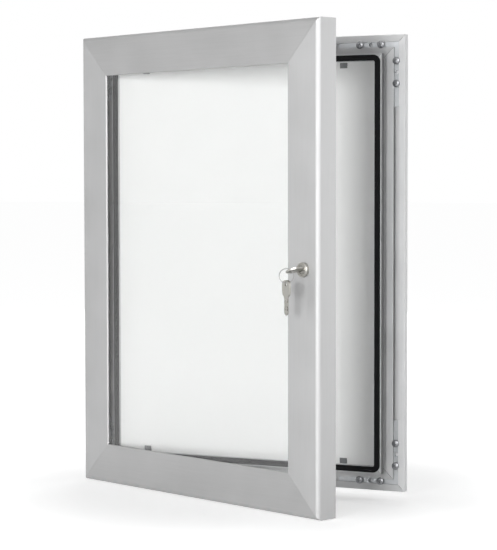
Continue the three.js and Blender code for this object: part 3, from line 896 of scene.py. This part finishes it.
bracket_screw = screw("bracket_screw", SCREW_SHANK, SCREW_LENGTH, SCREW_HEAD, SCREW_HEAD_HEIGHT)
BRACKET_SCREW_SPOTS = (
    (SLOT_INSET, FLANGE_INSET + SCREW_FAR),
    (SLOT_INSET, FLANGE_INSET + SCREW_NEAR),
    (FLANGE_INSET + SCREW_NEAR, SLOT_INSET),
    (FLANGE_INSET + SCREW_FAR, SLOT_INSET),
)
SCREW_TURNS = (12, 67, 31, 80, 5, 48, 73, 22)
for index, (corner, place) in enumerate(CORNERS.items()):
    for i, (x, z) in enumerate(BRACKET_SCREW_SPOTS):
        name = "bracket_screw_" + corner + "_" + str(i + 1)
        spin = turn(SCREW_TURNS[(3 * index + i) % len(SCREW_TURNS)], "Z")
        spot = place @ shift(x, -FLANGE_HEIGHT, z) @ FORWARD @ spin
        head = piece_of("crowned_" + name, bracket_screw)
        put(head, spot, "back_unit", screw_metal, "zinc", name)


# Hinge
def knuckle_span(i):
    pitch = HINGE_LENGTH / KNUCKLE_COUNT
    low = i * pitch - HINGE_LENGTH / 2
    return low + KNUCKLE_GAP / 2, low + pitch - KNUCKLE_GAP / 2


def leaf(name, flat, tab, first):
    """A leaf, its tabs and its rolled knuckles, every second one from first, drawn along X."""
    pieces = []
    for i in range(first, KNUCKLE_COUNT, 2):
        low, high = knuckle_span(i)
        tube = turned(
            "knuckle",
            [
                (KNUCKLE_BORE, low),
                (KNUCKLE_RADIUS - KNUCKLE_CHAMFER, low),
                (KNUCKLE_RADIUS, low + KNUCKLE_CHAMFER),
                (KNUCKLE_RADIUS, high - KNUCKLE_CHAMFER),
                (KNUCKLE_RADIUS - KNUCKLE_CHAMFER, high),
                (KNUCKLE_BORE, high),
            ],
            KNUCKLE_STEPS,
        )
        tube.data.transform(shift(0, -HINGE_HEIGHT, HINGE_INSET) @ turn(90, "Y"))
        pieces.append(joined(tube, bar("tab", tab, low, high)))
    whole = joined(bar(name, flat, -HINGE_LENGTH / 2, HINGE_LENGTH / 2), *pieces)
    whole.name = name
    return mended(whole)


def frame_leaf():
    outer = HINGE_INSET + KNUCKLE_RADIUS - LEAF_THICKNESS
    inner = outer + LEAF_THICKNESS
    flat = [
        (outer, FRAME_LEAF_REAR),
        (FRAME_LEAF_REACH, FRAME_LEAF_REAR),
        (FRAME_LEAF_REACH, FRAME_LEAF_FRONT),
        (outer, FRAME_LEAF_FRONT),
    ]
    tab = [
        (outer, HINGE_HEIGHT - TAB_OVERLAP),
        (inner - TANGENT_STEP, HINGE_HEIGHT - TAB_OVERLAP),
        (inner - TANGENT_STEP, FRAME_LEAF_FRONT),
        (outer, FRAME_LEAF_FRONT),
    ]
    return leaf("rolled_leaf_frame", flat, tab, 0)


def door_leaf():
    def strip(low):
        return [
            (DOOR_LEAF_OUTER, low),
            (DOOR_LEAF_INNER, low),
            (DOOR_LEAF_INNER, DOOR_LEAF_REACH),
            (DOOR_LEAF_OUTER, DOOR_LEAF_REACH),
        ]

    return leaf("rolled_leaf_door", strip(DOOR_REAR), strip(DOOR_LEAF_ROOT), 1)


left_place = SIDES["left"][0]
fixed_leaf = edged(frame_leaf(), LEAF_EDGE)
put(fixed_leaf, left_place, "back_unit", steel_rolled, "steel", "hinge_leaf_frame")
swung_leaf = edged(door_leaf(), LEAF_EDGE)
put(swung_leaf, SWUNG @ left_place, "door", steel_rolled, "steel", "hinge_leaf_door")

half_pin = HINGE_LENGTH / 2
pin = turned(
    "crowned_hinge_pin",
    [
        (0, -half_pin),
        (PIN_RADIUS - PIN_CROWN, -half_pin),
        (PIN_RADIUS, -half_pin + PIN_CROWN),
        (PIN_RADIUS, half_pin - PIN_CROWN),
        (PIN_RADIUS - PIN_CROWN, half_pin),
        (0, half_pin),
    ],
    PIN_STEPS,
)
pin_place = left_place @ shift(0, -HINGE_HEIGHT, HINGE_INSET) @ turn(90, "Y")
put(pin, pin_place, "back_unit", steel_plain, "steel", "hinge_pin")

hinge_screw = {
    "frame": screw(
        "hinge_screw",
        HINGE_SCREW_SHANK,
        FRAME_LEAF_FRONT - FLANGE_HEIGHT + FRAME_SCREW_DEPTH,
        HINGE_SCREW_HEAD,
        HINGE_SCREW_HEAD_HEIGHT,
    ),
    "door": screw(
        "hinge_screw",
        HINGE_SCREW_SHANK,
        DOOR_LEAF_INNER + FIT_GAP - SKIRT_WALL + DOOR_SCREW_DEPTH,
        HINGE_SCREW_HEAD,
        HINGE_SCREW_HEAD_HEIGHT,
    ),
}
for i in range(HINGE_SCREW_COUNT):
    number = "_" + str(i + 1)
    spin = turn(SCREW_TURNS[i], "Z")
    along = screw_places(FRAME_SCREW_SPACING)[i]
    spot = left_place @ shift(along, -FRAME_LEAF_FRONT, FRAME_SCREW_INSET) @ FORWARD @ spin
    name = "hinge_screw_frame" + number
    head = piece_of("crowned_" + name, hinge_screw["frame"])
    put(head, spot, "back_unit", zinc, "zinc", name)
    along = screw_places(DOOR_SCREW_SPACING)[i]
    spot = SWUNG @ left_place @ shift(along, -DOOR_SCREW_HEIGHT, DOOR_LEAF_INNER + FIT_GAP) @ spin
    name = "hinge_screw_door" + number
    head = piece_of("crowned_" + name, hinge_screw["door"])
    put(head, spot, "door", zinc, "zinc", name)


# Lock
def lock_housing():
    bore = PLUG_DIAMETER / 2 + FIT_GAP
    barrel = BARREL_DIAMETER / 2
    head = LOCK_HEAD / 2
    groove = (bore + head) / 2
    return turned(
        "turned_lock_housing",
        [
            (bore, BARREL_REAR),
            (barrel - LOCK_BORE_CHAMFER, BARREL_REAR),
            (barrel, BARREL_REAR + LOCK_BORE_CHAMFER),
            (barrel, DOOR_FRONT + FIT_GAP),
            (head, DOOR_FRONT + FIT_GAP),
            *arc(
                head - LOCK_HEAD_CHAMFER,
                LOCK_FRONT - LOCK_HEAD_CHAMFER,
                LOCK_HEAD_CHAMFER,
                0,
                0.25,
                LOCK_HEAD_STEPS,
            ),
            (groove + LOCK_FACE_GROOVE, LOCK_FRONT),
            (groove, LOCK_FRONT - LOCK_FACE_GROOVE),
            (groove - LOCK_FACE_GROOVE, LOCK_FRONT),
            (bore + LOCK_BORE_CHAMFER, LOCK_FRONT),
            (bore, LOCK_FRONT - LOCK_BORE_CHAMFER),
        ],
    )


def lock_plug():
    front = PLUG_FRONT
    body = turned(
        "turned_lock_plug",
        [
            (0, PLUG_REAR),
            (PLUG_DIAMETER / 2, PLUG_REAR),
            (PLUG_DIAMETER / 2, front - LOCK_BORE_CHAMFER),
            (PLUG_DIAMETER / 2 - LOCK_BORE_CHAMFER, front),
            (0, front),
        ],
    )
    half = BOSS_SIDE / 2
    square = [(-half, -half), (half, -half), (half, half), (-half, half)]
    body = joined(body, prism("boss", square, CAM_REAR + FIT_GAP, PLUG_REAR + OVERRUN))
    width = KEY_THICKNESS / 2 + FIT_GAP
    height = BLADE_WIDTH / 2 + FIT_GAP
    keyway = [(-width, -height), (width, -height), (width, height), (-width, height)]
    hole = CAM_SCREW_SHANK / 2 + FIT_GAP
    return cut(
        body,
        prism("keyway", keyway, front - BLADE_LENGTH - FIT_GAP, front + OVERRUN),
        rod("hole", hole, CAM_REAR - OVERRUN, CAM_REAR + CAM_SCREW_LENGTH, HOLE_STEPS),
    )


lock_place = SWUNG @ shift(HALF_WIDTH - LOCK_INSET, 0, 0)
turned_place = lock_place @ turn(KEY_TURN_DEGREES, "Y")
put(lock_housing(), lock_place @ FORWARD, "door", nickel, "nickel", "lock_housing")
plug = edged(lock_plug(), PLUG_EDGE)
put(plug, turned_place @ FORWARD, "lock_barrel", nickel, "nickel", "lock_plug")
cam_screw = screw(
    "cam_screw", CAM_SCREW_SHANK, CAM_SCREW_LENGTH, CAM_SCREW_HEAD, CAM_SCREW_HEAD_HEIGHT
)
cam_screw_place = turned_place @ shift(0, FIT_GAP - CAM_REAR, 0) @ turn(-90, "X")
cam_screw_piece = piece_of("crowned_cam_screw", cam_screw)
put(cam_screw_piece, cam_screw_place, "lock_barrel", zinc, "zinc", "cam_screw")


# Keys: drawn with the width along Z and the bow towards the front, the shoulder at height zero
def key_blade():
    side = BLADE_WIDTH / 2
    nose = side / 3
    points = [
        (side, NECK_LENGTH),
        (-side, NECK_LENGTH),
        (-side, BLADE_TIP - BLADE_LENGTH),
        (-nose, -BLADE_LENGTH),
        (nose, -BLADE_LENGTH),
        (side, BLADE_TIP - BLADE_LENGTH),
    ]
    for i, share in enumerate(BITE_DEPTH_SHARES):
        root = BLADE_TIP - BLADE_LENGTH + (i + 1) * BITE_PITCH
        points.append((side, root - BITE_PITCH / 3))
        points.append((side - share * BITE_DEPTH, root))
        points.append((side, root + BITE_PITCH / 3))
    return points


def key_shape():
    low = -KEY_THICKNESS / 2
    high = KEY_THICKNESS / 2
    bow = bar("bow", rounded_rectangle(BOW_WIDTH, BOW_LENGTH, BOW_ROUNDING), low, high)
    bow.data.transform(shift(0, -NECK_LENGTH - BOW_LENGTH / 2, 0))
    half = NECK_WIDTH / 2
    reach = NECK_LENGTH + BOW_ROUNDING
    neck = bar("neck", [(-half, 0), (half, 0), (half, reach), (-half, reach)], low, high)
    whole = joined(bow, neck, bar("blade", key_blade(), low, high))
    hole = rod("hole", KEY_HOLE / 2, low - OVERRUN, high + OVERRUN, KEY_HOLE_STEPS)
    hole.data.transform(shift(0, -KEY_HOLE_REACH, 0) @ turn(90, "Y"))
    cutters = [hole]
    for face, offset in ((1, -KEY_GROOVE_OFFSET), (-1, KEY_GROOVE_OFFSET)):
        floor = face * (high - KEY_GROOVE_DEPTH)
        ends = sorted((floor, face * (high + OVERRUN)))
        half = KEY_GROOVE_WIDTH / 2
        rear = -BLADE_LENGTH - OVERRUN
        groove = [
            (offset - half, rear),
            (offset + half, rear),
            (offset + half, NECK_LENGTH),
            (offset - half, NECK_LENGTH),
        ]
        cutters.append(bar("groove", groove, *ends))
    return shape_alone(mended(cut(whole, *cutters)))


key_mesh = key_shape()
key = edged(piece_of("milled_key", key_mesh), KEY_EDGE, KEY_EDGE_SEGMENTS)
put(key, turned_place @ shift(0, -KEY_SHOULDER, 0), "key", nickel, "nickel", "key")

hole_place = SWUNG @ shift(HALF_WIDTH - LOCK_INSET, -KEY_SHOULDER - KEY_HOLE_REACH, 0)
ring_frame = Matrix.Translation(hole_place.to_translation()) @ turn(RING_AZIMUTH_DEGREES, "Z")
across = RING_RADIUS * math.cos(math.radians(RING_DROOP_DEGREES))
down = RING_RADIUS * math.sin(math.radians(RING_DROOP_DEGREES))


def split_ring():
    """Wire wound almost twice round, which steps over its own start after the first turn."""
    steps = round(FINE_STEPS * RING_TURNS)
    wire = RING_WIRE / 2 * RING_WIRE_FULLNESS
    rings = []
    for i in range(steps + 1):
        turns = RING_TURNS * i / steps
        climb = min(max((turns - RING_STEP_FROM) / (1 - RING_STEP_FROM), 0), 1)
        z = (climb * climb * (3 - 2 * climb) - 0.5) * RING_WIRE
        angle = 2 * math.pi * turns
        section = []
        for j in range(RING_WIRE_STEPS):
            a = 2 * math.pi * j / RING_WIRE_STEPS
            r = RING_RADIUS + wire * math.cos(a)
            rise = z + wire * math.sin(a)
            section.append((r * math.cos(angle), r * math.sin(angle), rise))
        rings.append(section)
    return loops("split_key_ring", rings, False)


ring_place = ring_frame @ shift(across, 0, -down) @ FORWARD
put(split_ring(), ring_place, "ring", steel_plain, "steel", "key_ring")
spare_place = (
    ring_frame
    @ shift(across, 0, -down - RING_RADIUS - SPARE_KEY_DROP)
    @ turn(SPARE_KEY_SKEW_DEGREES, "Z")
    @ shift(0, 0, -KEY_HOLE_REACH)
    @ turn(-90, "X")
)
spare = edged(piece_of("milled_spare_key", key_mesh), KEY_EDGE, KEY_EDGE_SEGMENTS)
put(spare, spare_place, "spare", nickel, "nickel", "spare_key")


# Camera
PICTURE_HEIGHT = 550
FOCAL_PIXELS = 1884.89
SENSOR = 36
CAMERA_PLACE = (0.87355, -1.88837, -0.14782)
CAMERA_YAW = 24.952
CAMERA_PITCH = -2.755
CAMERA_ROLL = -0.091

camera_data = bpy.data.cameras.new("camera")
camera_data.lens = FOCAL_PIXELS * SENSOR / PICTURE_HEIGHT
camera_data.sensor_width = SENSOR
camera_data.clip_start = 0.05
camera_data.clip_end = 50
camera = bpy.data.objects.new("camera", camera_data)
bpy.context.scene.collection.objects.link(camera)
camera.matrix_world = (
    Matrix.Translation(CAMERA_PLACE)
    @ turn(CAMERA_YAW, "Z")
    @ turn(90 + CAMERA_PITCH, "X")
    @ turn(CAMERA_ROLL, "Z")
)
bpy.context.scene.camera = camera


# Floor, background and lamps
def shown_to_eye(tree):
    """1 for the rays that show the background: from the camera, off metal, and through glass."""
    path = node(tree, "ShaderNodeLightPath")
    share = path.outputs["Is Camera Ray"]
    for ray in ("Is Glossy Ray", "Is Transmission Ray"):
        share = combined(tree, share, path.outputs[ray], "MAXIMUM")
    return share


FLOOR_SIZE = 60
FLOOR_DROP = 0.0006
FLOOR_GREY = (0.86, 0.86, 0.86, 1)
WHITE = (1, 1, 1, 1)
SOFT_LIGHT = (0.98, 0.99, 1, 1)
SOFT_LIGHT_STRENGTH = 0.1
GLOW_NEAR = 0.5
GLOW_FAR = 0.62
GLOW_IN_PAINTED_SHADE = 0.5
GLOW_MOST = 0.9
floor_height = cad_bounds[0].z - FLOOR_DROP
corner = FLOOR_SIZE / 2
floor_mesh = bpy.data.meshes.new("floor")
floor_mesh.from_pydata(
    [
        (-corner, -corner, floor_height),
        (corner, -corner, floor_height),
        (corner, corner, floor_height),
        (-corner, corner, floor_height),
    ],
    [],
    [(0, 1, 2, 3)],
)
floor = piece_of("floor", floor_mesh)
floor_finish, tree, shader = principled("floor_pale", Roughness=0.9, Specular_IOR_Level=0.0)
shader.inputs["Base Color"].default_value = FLOOR_GREY
shader.inputs["Emission Color"].default_value = WHITE
# Painted shade: the floor's glow is weaker within GLOW_NEAR of the middle than beyond GLOW_FAR, a
# darker pool round the object's foot.
place = node(tree, "ShaderNodeNewGeometry")
span = node(tree, "ShaderNodeVectorMath", {0: place.outputs["Position"]}, operation="LENGTH")
painted_floor_shade = node(
    tree,
    "ShaderNodeMapRange",
    {0: span.outputs["Value"], 1: GLOW_NEAR, 2: GLOW_FAR, 3: GLOW_IN_PAINTED_SHADE, 4: GLOW_MOST},
    interpolation_type="SMOOTHSTEP",
)
glow = combined(tree, shown_to_eye(tree), painted_floor_shade.outputs["Result"], "MULTIPLY")
tree.links.new(glow, shader.inputs["Emission Strength"])
floor_mesh.materials.append(floor_finish)

world = bpy.data.worlds.new("studio")
bpy.context.scene.world = world
world.use_nodes = True
tree = world.node_tree
tree.nodes.clear()
light = node(
    tree, "ShaderNodeBackground", {"Color": SOFT_LIGHT, "Strength": SOFT_LIGHT_STRENGTH}
)
white = node(tree, "ShaderNodeBackground", {"Color": WHITE, "Strength": 1.0})
mixed = node(
    tree,
    "ShaderNodeMixShader",
    {0: shown_to_eye(tree), 1: light.outputs["Background"], 2: white.outputs["Background"]},
)
node(tree, "ShaderNodeOutputWorld", {"Surface": mixed.outputs["Shader"]})


def softbox(name, place, aim, width, height, watts):
    lamp_data = bpy.data.lights.new(name, "AREA")
    lamp_data.shape = "RECTANGLE"
    lamp_data.size = width
    lamp_data.size_y = height
    lamp_data.energy = watts
    lamp = bpy.data.objects.new(name, lamp_data)
    bpy.context.scene.collection.objects.link(lamp)
    lamp.location = place
    lamp.visible_camera = False
    lamp.rotation_euler = (Vector(aim) - Vector(place)).to_track_quat("-Z", "Y").to_euler()
    return lamp


TARGET = (0, -0.05, -0.233)
softbox("front_light", (-0.15, -2.6, -0.05), TARGET, 1.2, 0.9, 48)
softbox("left_light", (-1.75, -2.0, 0.55), TARGET, 0.6, 0.6, 2.5)
softbox("rear_light", (1.9, 1.3, -0.5), TARGET, 0.8, 2.0, 33)
softbox("back_light", (-0.7, 2.6, 0.4), TARGET, 1.8, 1.4, 36)
sheen = softbox("sheen_light", (1.9, -2.0, 0.8), TARGET, 2.6, 1.1, 85)
sheen.visible_diffuse = False

view = bpy.context.scene.view_settings
view.view_transform = "Standard"
